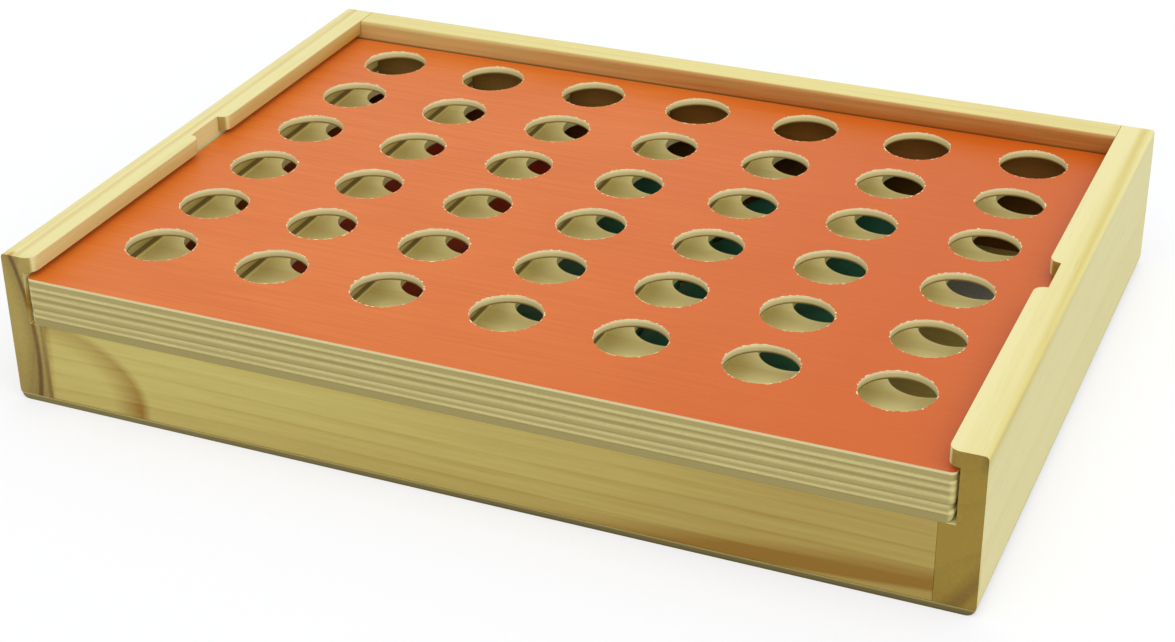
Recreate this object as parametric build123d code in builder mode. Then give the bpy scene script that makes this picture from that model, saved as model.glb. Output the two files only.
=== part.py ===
from build123d import *

import os

# A four-in-a-row game in its own wooden box, millimetres, +Z up.
# The box lies flat with its long side along X and its open front at -Y.
# The game board slides in grooves as the lid, and the discs lie in the tray below it.
# The origin is the middle of the box's footprint, on the surface that it stands on.

# Discs
disc_diameter = 30.0
disc_thickness = 9.0
discs_per_colour = 21

# Discs and sight holes repeat so often that their round outlines are drawn with flat sides.
round_outline_sides = 24

# Game board: a core of strips between two panels with sight holes
columns = 7
rows = 6
sight_hole_diameter = 21.0
panel_thickness = 2.5
disc_play = 1.0
channel_clearance = 0.5
divider_width = 6.5
side_strip_width = 9.1
foot_strip_depth = 18.0
open_end_margin = 0.5
board_corner_round = 1.5
board_lower_edge_round = 2.2

# Box
bottom_thickness = 1.9
tray_height = 24.5
web_thickness = 7.0
ledge_width = 4.5
lip_overhang = 3.5
lip_thickness = 4.8
front_wall_thickness = 8.0
back_wall_thickness = 10.6
back_wall_end_gap = 0.3

# Grooves: what is left free round the board that slides in them
board_side_gap = 0.9
board_top_gap = 1.8
board_back_gap = 0.3

# Notches in the lips, where the board stands upright in play
notch_setback = 99.5
notch_clearance = 0.7
lip_end_round = 3.2

# Rounded edges of the box
rail_outer_round = 1.2
box_back_round = 1.5
box_foot_round = 3.0
back_wall_inner_round = 2.5

# Discs in the tray: they lie flat in one layer, in columns from front to back
disc_storage_gap = 0.3
discs_per_storage_column = 6

# Rules leaflet, folded to a pad that lies loose in the bare end of the tray
leaflet_width = 50.0
leaflet_length = 36.0
leaflet_thickness = 1.0
leaflet_side_gap = 2.0
leaflet_back_gap = 16.0

# Sizes of the board that follow
channel_width = disc_diameter + 2 * channel_clearance
column_pitch = channel_width + divider_width
row_pitch = disc_diameter
core_thickness = disc_thickness + disc_play
board_thickness = 2 * panel_thickness + core_thickness
board_width = columns * channel_width + (columns - 1) * divider_width + 2 * side_strip_width
channel_length = rows * row_pitch + open_end_margin
board_length = foot_strip_depth + channel_length

# Sizes of the box that follow
groove_height = board_thickness + board_top_gap
box_length = board_width + 2 * board_side_gap + 2 * web_thickness
box_depth = board_length + board_back_gap + back_wall_thickness
ledge_top = bottom_thickness + tray_height
box_height = ledge_top + groove_height + lip_thickness

# Places from left to right
web_face = box_length / 2 - web_thickness
tray_side = web_face - ledge_width
lip_edge = web_face - lip_overhang

# Places from front to back
box_front = -box_depth / 2
box_back = box_depth / 2
back_wall_face = box_back - back_wall_thickness
board_middle = box_front + board_length / 2
channel_start = box_front + foot_strip_depth
channel_middle = channel_start + channel_length / 2
sight_hole_middle = channel_start + rows * row_pitch / 2
notch_width = board_thickness + notch_clearance
notch_middle = box_front + notch_setback

# Heights
core_bottom = ledge_top + panel_thickness
core_top = core_bottom + core_thickness
groove_top = ledge_top + groove_height

# Each finished piece by its name, in the order in which the box is put together
pieces = {}

# The section of the whole closed box. Its lower edges are rounded at the two short sides
# once the frame is glued to its bottom, so this cuts the bottom and both rails alike.
with BuildSketch(Plane.XZ) as box_section:
    Rectangle(box_length, box_height, align=(Align.CENTER, Align.MIN))
    fillet(box_section.vertices().group_by(Axis.Y)[0], box_foot_round)

# The bottom is one thin sheet under the whole frame.
with BuildPart() as bottom_panel:
    with BuildSketch(Plane.XY):
        Rectangle(box_length, box_depth)
    extrude(amount=bottom_thickness)
    extrude(box_section.sketch, amount=box_depth / 2, both=True, mode=Mode.INTERSECT)
pieces["bottom_panel"] = bottom_panel.part

# A side rail has one stepped profile along its whole length: a thick foot whose top is the
# ledge that carries the board, a thin web beside the groove, and a lip over the board.
# The lip is cut through at the notch, and its corners are rounded where the board enters.
with BuildPart() as right_rail:
    with BuildSketch(Plane.XZ):
        with BuildLine():
            Polyline(
                (box_length / 2, bottom_thickness),
                (box_length / 2, box_height),
                (lip_edge, box_height),
                (lip_edge, groove_top),
                (web_face, groove_top),
                (web_face, ledge_top),
                (tray_side, ledge_top),
                (tray_side, bottom_thickness),
                close=True,
            )
        make_face()
    extrude(amount=box_depth / 2, both=True)
    with BuildSketch(Plane.XY.offset(groove_top)):
        with Locations((web_face, notch_middle)):
            Rectangle(lip_overhang, notch_width, align=(Align.MAX, Align.CENTER))
    extrude(amount=lip_thickness, mode=Mode.SUBTRACT)
    lip_corners = right_rail.edges().filter_by(Axis.Z).group_by(Axis.X)[1].sort_by(Axis.Y)
    fillet(lip_corners[:3], lip_end_round)
    back_top_edge = right_rail.faces().sort_by(Axis.Y)[-1].edges().sort_by(Axis.Z)[-1]
    fillet(back_top_edge, box_back_round)
    outer_edges = right_rail.edges().filter_by(Axis.Y).group_by(Axis.X)[-1]
    fillet(outer_edges.sort_by(Axis.Z)[-1], rail_outer_round)
    extrude(box_section.sketch, amount=box_depth / 2, both=True, mode=Mode.INTERSECT)
pieces["right_rail"] = right_rail.part

with BuildPart() as left_rail:
    mirror(right_rail.part, about=Plane.YZ)
pieces["left_rail"] = left_rail.part

# The front wall ends at the ledge, so the board slides out over it.
with BuildPart() as front_wall:
    with BuildSketch(Plane.XY.offset(bottom_thickness)):
        with Locations((0, box_front)):
            Rectangle(2 * tray_side, front_wall_thickness, align=(Align.CENTER, Align.MIN))
    extrude(amount=tray_height)
pieces["front_wall"] = front_wall.part

# The back wall is as high as the rails and stops the board. Its ends have a short tenon
# that fills each groove, and above it they stand a hair clear of the lips.
with BuildPart() as back_wall:
    with BuildSketch(Plane.XZ.offset(-back_wall_face)):
        with Locations((0, bottom_thickness)):
            Rectangle(2 * tray_side, tray_height, align=(Align.CENTER, Align.MIN))
        with Locations((0, ledge_top)):
            Rectangle(2 * web_face, groove_height, align=(Align.CENTER, Align.MIN))
        with Locations((0, groove_top)):
            Rectangle(
                2 * (lip_edge - back_wall_end_gap),
                lip_thickness,
                align=(Align.CENTER, Align.MIN),
            )
    extrude(amount=-back_wall_thickness)
    top_edges = back_wall.edges().filter_by(Axis.X).group_by(Axis.Z)[-1].sort_by(Axis.Y)
    fillet(top_edges[-1], box_back_round)
    fillet(top_edges[0], back_wall_inner_round)
pieces["back_wall"] = back_wall.part

# Both panels of the board have one sight hole in front of each disc's place.
# The board's lower long edges are rounded, so that it slides easily in the grooves.
with BuildPart() as board_back_panel:
    with BuildSketch(Plane.XY.offset(ledge_top)):
        with Locations((0, board_middle)):
            RectangleRounded(board_width, board_length, board_corner_round)
        with Locations((0, sight_hole_middle)):
            with GridLocations(column_pitch, row_pitch, columns, rows):
                RegularPolygon(sight_hole_diameter / 2, round_outline_sides, mode=Mode.SUBTRACT)
    extrude(amount=panel_thickness)
    with BuildSketch(Plane.XZ) as panel_section:
        with Locations((0, ledge_top)):
            Rectangle(board_width, panel_thickness, align=(Align.CENTER, Align.MIN))
        fillet(panel_section.vertices().group_by(Axis.Y)[0], board_lower_edge_round)
    extrude(amount=box_depth / 2, both=True, mode=Mode.INTERSECT)
pieces["board_back_panel"] = board_back_panel.part

with BuildPart() as board_front_panel:
    with BuildSketch(Plane.XY.offset(core_top)):
        with Locations((0, board_middle)):
            RectangleRounded(board_width, board_length, board_corner_round)
        with Locations((0, sight_hole_middle)):
            with GridLocations(column_pitch, row_pitch, columns, rows):
                RegularPolygon(sight_hole_diameter / 2, round_outline_sides, mode=Mode.SUBTRACT)
    extrude(amount=panel_thickness)
pieces["board_front_panel"] = board_front_panel.part

# The foot strip closes the columns at their lower end, where the first discs come to rest.
with BuildPart() as board_foot_strip:
    with BuildSketch(Plane.XY.offset(core_bottom)):
        with Locations((0, board_middle)):
            RectangleRounded(board_width, board_length, board_corner_round)
        with Locations((0, box_front)):
            Rectangle(
                board_width,
                foot_strip_depth,
                align=(Align.CENTER, Align.MIN),
                mode=Mode.INTERSECT,
            )
    extrude(amount=core_thickness)
pieces["board_foot_strip"] = board_foot_strip.part

# The side strips close the first and the last column on the outside.
with BuildPart() as board_right_strip:
    with BuildSketch(Plane.XY.offset(core_bottom)):
        with Locations((0, board_middle)):
            RectangleRounded(board_width, board_length, board_corner_round)
        with Locations((board_width / 2, channel_middle)):
            Rectangle(
                side_strip_width,
                channel_length,
                align=(Align.MAX, Align.CENTER),
                mode=Mode.INTERSECT,
            )
    extrude(amount=core_thickness)
pieces["board_right_strip"] = board_right_strip.part

with BuildPart() as board_left_strip:
    mirror(board_right_strip.part, about=Plane.YZ)
pieces["board_left_strip"] = board_left_strip.part

# One divider stands between each two columns, so that the discs fall straight.
first_divider = -(columns - 2) * column_pitch / 2
for index in range(columns - 1):
    with BuildPart() as board_divider:
        with BuildSketch(Plane.XY.offset(core_bottom)):
            with Locations((first_divider + index * column_pitch, channel_middle)):
                Rectangle(divider_width, channel_length)
        extrude(amount=core_thickness)
    pieces[f"board_divider_{index + 1}"] = board_divider.part

# The discs lie flat in the tray, packed from its left side in columns from front to back.
# The red ones fill the first columns. Those left over stand first in the next columns,
# and the teal ones fill all the rest.
storage_pitch = disc_diameter + disc_storage_gap
first_storage_column = -tray_side + storage_pitch / 2
tray_middle = (box_front + front_wall_thickness + back_wall_face) / 2
first_storage_row = tray_middle - (discs_per_storage_column - 1) * storage_pitch / 2
full_columns, left_over = divmod(discs_per_colour, discs_per_storage_column)
made = {"red": 0, "teal": 0}
for place in range(2 * discs_per_colour):
    column, row = divmod(place, discs_per_storage_column)
    is_left_over = row == 0 and column < full_columns + left_over
    colour = "red" if column < full_columns or is_left_over else "teal"
    made[colour] += 1
    disc_x = first_storage_column + column * storage_pitch
    disc_y = first_storage_row + row * storage_pitch
    with BuildPart() as disc:
        with BuildSketch(Plane.XY.offset(bottom_thickness)):
            with Locations((disc_x, disc_y)):
                RegularPolygon(disc_diameter / 2, round_outline_sides)
        extrude(amount=disc_thickness)
    pieces[f"{colour}_disc_{made[colour]}"] = disc.part

# The leaflet lies on the bare end of the tray, beside the last column of discs.
with BuildPart() as rules_leaflet:
    with BuildSketch(Plane.XY.offset(bottom_thickness)):
        with Locations((tray_side - leaflet_side_gap, back_wall_face - leaflet_back_gap)):
            Rectangle(leaflet_width, leaflet_length, align=(Align.MAX, Align.MAX))
    extrude(amount=leaflet_thickness)
pieces["rules_leaflet"] = rules_leaflet.part

# Every piece goes to a file with its own name.
os.makedirs("parts", exist_ok=True)
for name, piece in pieces.items():
    piece.label = name
    export_step(piece, f"parts/{name}.step")
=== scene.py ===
import math

import bmesh
import bpy
from mathutils import Matrix, Vector


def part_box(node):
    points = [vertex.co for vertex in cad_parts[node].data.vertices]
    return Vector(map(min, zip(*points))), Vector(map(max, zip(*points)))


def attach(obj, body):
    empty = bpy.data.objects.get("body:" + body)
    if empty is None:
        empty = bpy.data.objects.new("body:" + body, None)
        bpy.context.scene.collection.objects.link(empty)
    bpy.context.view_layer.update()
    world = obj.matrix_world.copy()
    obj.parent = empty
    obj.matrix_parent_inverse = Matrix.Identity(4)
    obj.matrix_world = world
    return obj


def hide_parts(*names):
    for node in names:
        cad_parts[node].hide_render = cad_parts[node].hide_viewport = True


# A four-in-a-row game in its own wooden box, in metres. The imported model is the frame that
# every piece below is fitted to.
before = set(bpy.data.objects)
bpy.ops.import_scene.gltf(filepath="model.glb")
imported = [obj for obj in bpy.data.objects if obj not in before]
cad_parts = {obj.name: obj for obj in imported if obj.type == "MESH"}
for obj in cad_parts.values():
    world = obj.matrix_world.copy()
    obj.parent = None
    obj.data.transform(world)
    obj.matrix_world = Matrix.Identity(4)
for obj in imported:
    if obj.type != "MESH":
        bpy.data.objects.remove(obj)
scene = bpy.context.scene
scene.view_settings.view_transform = "Standard"
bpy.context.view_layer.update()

# The camera stands to the right of the box's front and looks down over the board.
# Its place, turn and lens were found from the sight holes and corners in the picture.
camera_place = Vector((0.24124, -0.56928, 0.34411))
camera_azimuth = math.radians(-23.532)
camera_elevation = math.radians(28.946)
camera_roll = math.radians(-0.746)

ahead = Vector((
    math.sin(camera_azimuth) * math.cos(camera_elevation),
    math.cos(camera_azimuth) * math.cos(camera_elevation),
    -math.sin(camera_elevation),
))
level_right = ahead.cross(Vector((0, 0, 1))).normalized()
level_up = level_right.cross(ahead)
right = math.cos(camera_roll) * level_right + math.sin(camera_roll) * level_up
up = math.cos(camera_roll) * level_up - math.sin(camera_roll) * level_right

camera = bpy.data.objects.new("camera", bpy.data.cameras.new("camera"))
camera.data.sensor_width = 36
camera.data.lens = 69.39
camera.data.clip_start = 0.01
camera.matrix_world = Matrix((
    (right.x, up.x, -ahead.x, camera_place.x),
    (right.y, up.y, -ahead.y, camera_place.y),
    (right.z, up.z, -ahead.z, camera_place.z),
    (0, 0, 0, 1),
))
scene.collection.objects.link(camera)
scene.camera = camera


# The box stands on a wide sheet of matt white paper, which runs off into a white room.
# It isn't part of the game. The helpers here wire up the node trees of all materials.
def to_linear(red, green, blue):
    """A colour given as it looks on a screen, 0 to 255, as the linear values that light uses."""
    shares = (red / 255, green / 255, blue / 255)
    linear = [v / 12.92 if v <= 0.04045 else ((v + 0.055) / 1.055) ** 2.4 for v in shares]
    return (*linear, 1)


def add(tree, kind, **settings):
    """A shader node of this kind with its settings."""
    made = tree.nodes.new("ShaderNode" + kind)
    for name, value in settings.items():
        setattr(made, name, value)
    return made


def feed(tree, node, **inputs):
    """Gives inputs of a node, named with _ for each space, a value or another node's output."""
    for name, value in inputs.items():
        socket = node.inputs[name.replace("_", " ")]
        if isinstance(value, bpy.types.NodeSocket):
            tree.links.new(value, socket)
        else:
            socket.default_value = value
    return node


def calc(tree, operation, *terms):
    """The output of a Math node on numbers or other nodes' outputs."""
    made = add(tree, "Math", operation=operation)
    for socket, term in zip(made.inputs, terms):
        if isinstance(term, bpy.types.NodeSocket):
            tree.links.new(term, socket)
        else:
            socket.default_value = term
    return made.outputs[0]


def blend(tree, share, first, second, way="MIX"):
    """Two colours mixed by a share, which like them is a value or another node's output."""
    made = add(tree, "Mix", data_type="RGBA", blend_type=way)
    for socket, term in ((made.inputs[0], share), (made.inputs[6], first), (made.inputs[7], second)):
        if isinstance(term, bpy.types.NodeSocket):
            tree.links.new(term, socket)
        else:
            socket.default_value = term
    return made.outputs[2]


def stretch(tree, value, low, high, new_low=0.0, new_high=1.0):
    """A value between low and high moved to the range from new_low to new_high, and kept in it."""
    made = add(tree, "MapRange")
    tree.links.new(value, made.inputs["Value"])
    made.inputs["From Min"].default_value = low
    made.inputs["From Max"].default_value = high
    made.inputs["To Min"].default_value = new_low
    made.inputs["To Max"].default_value = new_high
    return made.outputs["Result"]


def speckle(tree, place, scale, detail=2.0):
    """Noise with its own scale along each of the three directions, in cells per metre."""
    sized = add(tree, "VectorMath", operation="MULTIPLY")
    tree.links.new(place, sized.inputs[0])
    sized.inputs[1].default_value = scale
    noise = add(tree, "TexNoise")
    tree.links.new(sized.outputs[0], noise.inputs["Vector"])
    noise.inputs["Scale"].default_value = 1
    noise.inputs["Detail"].default_value = detail
    return noise.outputs["Fac"]


def new_material(name, roughness, gloss=0.5):
    """A material with its shader node, for its section to wire up."""
    material = bpy.data.materials.new(name)
    material.use_nodes = True
    tree = material.node_tree
    shader = tree.nodes["Principled BSDF"]
    shader.inputs["Roughness"].default_value = roughness
    shader.inputs["Specular IOR Level"].default_value = gloss
    return material, tree, shader


paper_white, paper_grey = to_linear(244, 245, 250), to_linear(212, 212, 212)
paper_glow = 0.5
floor_half = 5.0
floor_material, tree, shader = new_material("white_paper", 0.9, 0.0)
rays = add(tree, "LightPath")
paper_tone = blend(tree, rays.outputs["Is Camera Ray"], paper_grey, paper_white)
tree.links.new(paper_tone, shader.inputs["Base Color"])
glow = feed(tree, add(tree, "Emission"), Color=(1, 1, 1, 1), Strength=1.0)
mixed = add(tree, "MixShader")
tree.links.new(calc(tree, "MULTIPLY", rays.outputs["Is Camera Ray"], paper_glow), mixed.inputs[0])
tree.links.new(shader.outputs[0], mixed.inputs[1])
tree.links.new(glow.outputs[0], mixed.inputs[2])
tree.links.new(mixed.outputs[0], tree.nodes["Material Output"].inputs["Surface"])

floor_mesh = bpy.data.meshes.new("floor")
corners = ((-1, -1), (1, -1), (1, 1), (-1, 1))
floor_mesh.from_pydata([(x * floor_half, y * floor_half, 0) for x, y in corners], [], [(0, 1, 2, 3)])
floor_mesh.materials.append(floor_material)
floor = bpy.data.objects.new("floor", floor_mesh)
scene.collection.objects.link(floor)

# One broad soft lamp stands high to the right of the box, and pale walls light it all round.
# The room is plain white where it is seen, straight or mirrored, and less bright as a light.
lamp_towards = Vector((0.37, -0.40, 0.84))
lamp_strength = 1.42
lamp_spread = math.radians(80)
room_light = 0.73

lamp = bpy.data.objects.new("lamp", bpy.data.lights.new("lamp", "SUN"))
lamp.data.energy = lamp_strength
lamp.data.angle = lamp_spread
lamp.rotation_euler = lamp_towards.to_track_quat("Z", "Y").to_euler()
scene.collection.objects.link(lamp)

world = bpy.data.worlds.new("room")
world.use_nodes = True
tree = world.node_tree
tree.nodes.clear()
rays = add(tree, "LightPath")
seen = calc(tree, "MAXIMUM", rays.outputs["Is Camera Ray"], rays.outputs["Is Transmission Ray"])
seen = calc(tree, "MAXIMUM", seen, rays.outputs["Is Glossy Ray"])
room = feed(tree, add(tree, "Background"), Color=(1, 1, 1, 1))
tree.links.new(stretch(tree, seen, 0, 1, room_light, 1), room.inputs["Strength"])
tree.links.new(room.outputs[0], add(tree, "OutputWorld").inputs["Surface"])
scene.world = world


# The bottom is one thin sheet of bare plywood, glued under the whole frame. Frame and sheet
# are then sanded together: the lower edges of the two short sides are rounded through both.
def wood_grain():
    """Softwood: growth rings round the X axis of Place, with fibres and dark flecks along it."""
    group = bpy.data.node_groups.new("wood_grain", "ShaderNodeTree")
    sockets = (
        ("Place", "NodeSocketVector"), ("Ring Width", "NodeSocketFloat"),
        ("Wander", "NodeSocketFloat"), ("Figure", "NodeSocketFloat"),
        ("Ring Depth", "NodeSocketFloat"), ("Fibre Depth", "NodeSocketFloat"),
        ("End Grain", "NodeSocketFloat"), ("Seed", "NodeSocketFloat"),
        ("Early Wood", "NodeSocketColor"), ("Late Wood", "NodeSocketColor"),
        ("End Wood", "NodeSocketColor"),
    )
    for name, kind in sockets:
        group.interface.new_socket(name, in_out="INPUT", socket_type=kind)
    group.interface.new_socket("Color", in_out="OUTPUT", socket_type="NodeSocketColor")
    group.interface.new_socket("Height", in_out="OUTPUT", socket_type="NodeSocketFloat")
    given = group.nodes.new("NodeGroupInput").outputs
    place = given["Place"]

    # The distance from the pith, with the rings' slow wander along the trunk
    split = add(group, "SeparateXYZ")
    group.links.new(place, split.inputs[0])
    across = calc(group, "MULTIPLY", split.outputs["Y"], split.outputs["Y"])
    across = calc(group, "ADD", across, calc(group, "MULTIPLY", split.outputs["Z"], split.outputs["Z"]))
    radius = calc(group, "SQRT", across)
    slow = calc(group, "SUBTRACT", speckle(group, place, (5, 26, 26), 1.0), 0.5)
    radius = calc(group, "ADD", radius, calc(group, "MULTIPLY", slow, given["Wander"]))

    # Each ring darkens slowly outwards and ends in a sharp line, and some rings are stronger
    turns = calc(group, "DIVIDE", radius, given["Ring Width"])
    ring = calc(group, "FLOOR", turns)
    late = add(group, "ValToRGB")
    group.links.new(calc(group, "SUBTRACT", turns, ring), late.inputs["Fac"])
    darkening = ((0.0, 0.35), (0.05, 0.0), (0.5, 0.1), (0.8, 0.5), (0.95, 1.0), (1.0, 0.35))
    stops = late.color_ramp.elements
    stops[0].position, stops[1].position = darkening[0][0], darkening[-1][0]
    for position, _ in darkening[1:-1]:
        stops.new(position)
    for stop, (_, level) in zip(stops, darkening):
        stop.color = (level, level, level, 1)
    chance = add(group, "TexWhiteNoise", noise_dimensions="1D")
    group.links.new(calc(group, "ADD", ring, given["Seed"]), chance.inputs["W"])
    strength = stretch(group, chance.outputs["Value"], 0, 1, 0.45, 1)
    late_share = calc(group, "MULTIPLY", late.outputs["Color"], strength)
    late_share = calc(group, "MULTIPLY", late_share, given["Ring Depth"])
    late_share = calc(group, "ADD", late_share, given["Figure"])

    # Fibres, short dark flecks, and slow changes of tone
    fibre = calc(group, "SUBTRACT", speckle(group, place, (28, 760, 760), 3.0), 0.5)
    fibre_share = calc(group, "MULTIPLY", fibre, given["Fibre Depth"])
    flecks = stretch(group, speckle(group, place, (60, 1300, 1300), 1.0), 0.66, 0.76, 0, 1)
    tone = calc(group, "SUBTRACT", speckle(group, place, (7, 45, 45), 2.0), 0.5)
    share = calc(group, "ADD", late_share, fibre_share)
    share = calc(group, "ADD", share, calc(group, "MULTIPLY", tone, 0.35))
    limited = calc(group, "MINIMUM", calc(group, "MAXIMUM", share, 0.0), 1.0)
    colour = blend(group, limited, given["Early Wood"], given["Late Wood"])
    colour = blend(group, calc(group, "MULTIPLY", flecks, 0.08), colour, to_linear(112, 84, 34))
    end_colour = blend(group, limited, given["End Wood"], to_linear(104, 76, 26))
    colour = blend(group, given["End Grain"], colour, end_colour)

    made = group.nodes.new("NodeGroupOutput")
    group.links.new(colour, made.inputs["Color"])
    height = calc(group, "ADD", fibre, calc(group, "MULTIPLY", late_share, 0.5))
    height = calc(group, "SUBTRACT", height, flecks)
    group.links.new(height, made.inputs["Height"])
    return group


def plywood_layers():
    """Plywood's edge: veneers one above another along Place's Z, by what the board's edge shows."""
    group = bpy.data.node_groups.new("plywood_layers", "ShaderNodeTree")
    sockets = (("Place", "NodeSocketVector"), ("Foot", "NodeSocketFloat"), ("Thickness", "NodeSocketFloat"))
    for name, kind in sockets:
        group.interface.new_socket(name, in_out="INPUT", socket_type=kind)
    group.interface.new_socket("Color", in_out="OUTPUT", socket_type="NodeSocketColor")
    group.interface.new_socket("Height", in_out="OUTPUT", socket_type="NodeSocketFloat")
    given = group.nodes.new("NodeGroupInput").outputs
    place = given["Place"]

    # Share of the thickness, counted from the foot, with veneers that aren't quite even
    split = add(group, "SeparateXYZ")
    group.links.new(place, split.inputs[0])
    uneven = calc(group, "SUBTRACT", speckle(group, place, (45, 45, 220), 2.0), 0.5)
    level = calc(group, "ADD", split.outputs["Z"], calc(group, "MULTIPLY", uneven, 0.00016))
    level = calc(group, "DIVIDE", calc(group, "SUBTRACT", level, given["Foot"]), given["Thickness"])

    # Long grain is light, end grain is dark, and glue shows as a thin line
    long_grain = to_linear(210, 198, 138)
    end_grain = to_linear(174, 162, 103)
    warm_long_grain = to_linear(197, 184, 120)
    glue = to_linear(158, 143, 85)
    lowest = to_linear(160, 149, 94)
    veneers = (
        (0.0, lowest), (0.125, lowest), (0.15, glue), (0.165, glue), (0.18, long_grain),
        (0.205, long_grain), (0.235, end_grain), (0.27, end_grain), (0.295, warm_long_grain),
        (0.335, long_grain), (0.37, glue), (0.40, end_grain), (0.44, end_grain), (0.47, warm_long_grain),
        (0.515, long_grain), (0.545, end_grain), (0.585, glue), (0.615, end_grain), (0.645, long_grain),
        (0.69, warm_long_grain), (0.715, end_grain), (0.755, glue), (0.78, long_grain),
        (0.815, long_grain), (0.845, end_grain), (0.945, end_grain), (0.962, long_grain), (1.0, long_grain),
    )
    layers = add(group, "ValToRGB")
    group.links.new(level, layers.inputs["Fac"])
    stops = layers.color_ramp.elements
    stops[0].position, stops[1].position = 0, 1
    for position, _ in veneers[1:-1]:
        stops.new(position)
    for stop, (_, tint) in zip(stops, veneers):
        stop.color = tint

    # Streaks along the edge and pores in the end grain
    streaks = speckle(group, place, (60, 60, 2200), 3.0)
    pores = speckle(group, place, (900, 900, 1300), 2.0)
    rough_cut = calc(group, "ADD", calc(group, "MULTIPLY", streaks, 0.6), calc(group, "MULTIPLY", pores, 0.4))
    streaked = stretch(group, rough_cut, 0.42, 0.72, 0, 0.3)
    colour = blend(group, streaked, layers.outputs["Color"], to_linear(150, 132, 80))

    made = group.nodes.new("NodeGroupOutput")
    group.links.new(colour, made.inputs["Color"])
    group.links.new(rough_cut, made.inputs["Height"])
    return group


grain = wood_grain()
layers = plywood_layers()


def facing(tree, direction):
    """How much a face looks along X, Y or Z, from 0 to 1."""
    split = add(tree, "SeparateXYZ")
    tree.links.new(add(tree, "TexCoord").outputs["Normal"], split.inputs[0])
    return calc(tree, "ABSOLUTE", split.outputs[direction])


def relief(tree, shader, height, depth):
    """Height as fine relief, with its depth in metres."""
    bump = feed(tree, add(tree, "Bump"), Strength=0.6, Distance=depth, Height=height)
    tree.links.new(bump.outputs["Normal"], shader.inputs["Normal"])


def place_of(tree, location=(0, 0, 0), rotation=(0, 0, 0)):
    """The object's own coordinates, turned and then shifted."""
    mapping = add(tree, "Mapping")
    tree.links.new(add(tree, "TexCoord").outputs["Object"], mapping.inputs["Vector"])
    mapping.inputs["Rotation"].default_value = rotation
    mapping.inputs["Location"].default_value = location
    return mapping.outputs["Vector"]


def use(tree, group, **inputs):
    """A shader node group in a material, with this material's values."""
    return feed(tree, add(tree, "Group", node_tree=group), **inputs).outputs


def off_line(tree, value, line):
    """How far a value lies from a line, on either side of it."""
    return calc(tree, "ABSOLUTE", calc(tree, "SUBTRACT", value, line))


def painted_foot_shade(tree, place):
    """Painted shade by the floor: the bottom sheet's cut edge darkens downwards, and more to the right."""
    sheet_top = 0.0019
    share = stretch(tree, place["Z"], 0.0003, sheet_top, 0.85, 0.5)
    return calc(tree, "MULTIPLY", share, stretch(tree, place["X"], -0.13, 0.02, 0.7, 1.05))


def plywood(name, foot, thickness, early, late, darker=None):
    """Bare plywood with a fine-grained face. Its layers show wherever it is cut, and the sides
    that are sawn across have a dark middle veneer with a paler one under it."""
    material, tree, shader = new_material(name, 0.62, 0.3)
    place = place_of(tree, (0, 0.31, 0.4))
    face = use(
        tree, grain, Place=place, Ring_Width=0.0042, Wander=0.012, Ring_Depth=0.45,
        Fibre_Depth=0.5, Early_Wood=early, Late_Wood=late,
    )
    cut = use(tree, layers, Place=place_of(tree), Foot=foot, Thickness=thickness)
    split = add(tree, "SeparateXYZ")
    tree.links.new(place_of(tree), split.inputs[0])
    sawn = facing(tree, "X")
    dark_veneer, pale_veneer = 0.0313, 0.0297
    heart = stretch(tree, off_line(tree, split.outputs["Z"], dark_veneer), 0.0006, 0.0012, 0.8, 0)
    paler = stretch(tree, off_line(tree, split.outputs["Z"], pale_veneer), 0.0004, 0.0008, 0.95, 0.45)
    cut_colour = blend(tree, calc(tree, "MULTIPLY", sawn, paler), cut["Color"], early)
    cut_colour = blend(tree, calc(tree, "MULTIPLY", sawn, heart), cut_colour, to_linear(92, 64, 22))
    # Where a darker mask is given, painted shade darkens the cut colour.
    if darker:
        cut_colour = blend(tree, darker(tree, split.outputs), cut_colour, to_linear(84, 72, 30))
    is_face = stretch(tree, facing(tree, "Z"), 0.75, 0.95)
    tree.links.new(blend(tree, is_face, cut_colour, face["Color"]), shader.inputs["Base Color"])
    height = calc(tree, "ADD", calc(tree, "MULTIPLY", face["Height"], 0.6), cut["Height"])
    relief(tree, shader, height, 0.00005)
    return material


def finish(name, shape, material, body, slot, *nodes, fine=0.3e-6):
    """Makes the object of a finished mesh, with flat faces flat and rounded ones smooth."""
    boxes = [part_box(node) for node in nodes]
    for vert in shape.verts:
        for axis in range(3):
            lowest = min(box[0][axis] for box in boxes)
            highest = max(box[1][axis] for box in boxes)
            vert.co[axis] = max(lowest, min(highest, vert.co[axis]))
    bmesh.ops.recalc_face_normals(shape, faces=shape.faces)
    mesh = bpy.data.meshes.new(name)
    shape.to_mesh(mesh)
    shape.free()
    mesh.set_sharp_from_angle(angle=math.radians(40))
    for face in mesh.polygons:
        square = max(abs(part) for part in face.normal) > 0.9999
        face.use_smooth = not (square and face.area > fine)
    mesh.materials.clear()
    mesh.materials.append(material)
    piece = bpy.data.objects.new(name, mesh)
    scene.collection.objects.link(piece)
    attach(piece, body)
    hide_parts(*nodes)
    return piece


def ease(shape, edges, radius, steps):
    """Rounds these edges."""
    bmesh.ops.bevel(
        shape, geom=list(edges), offset=radius, offset_type="OFFSET", segments=steps,
        profile=0.5, affect="EDGES", clamp_overlap=True,
    )


def sharp_edges(shape, least=50):
    """The edges where two faces meet at more than this angle."""
    return [e for e in shape.edges if len(e.link_faces) == 2 and e.calc_face_angle(0) > math.radians(least)]


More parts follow.
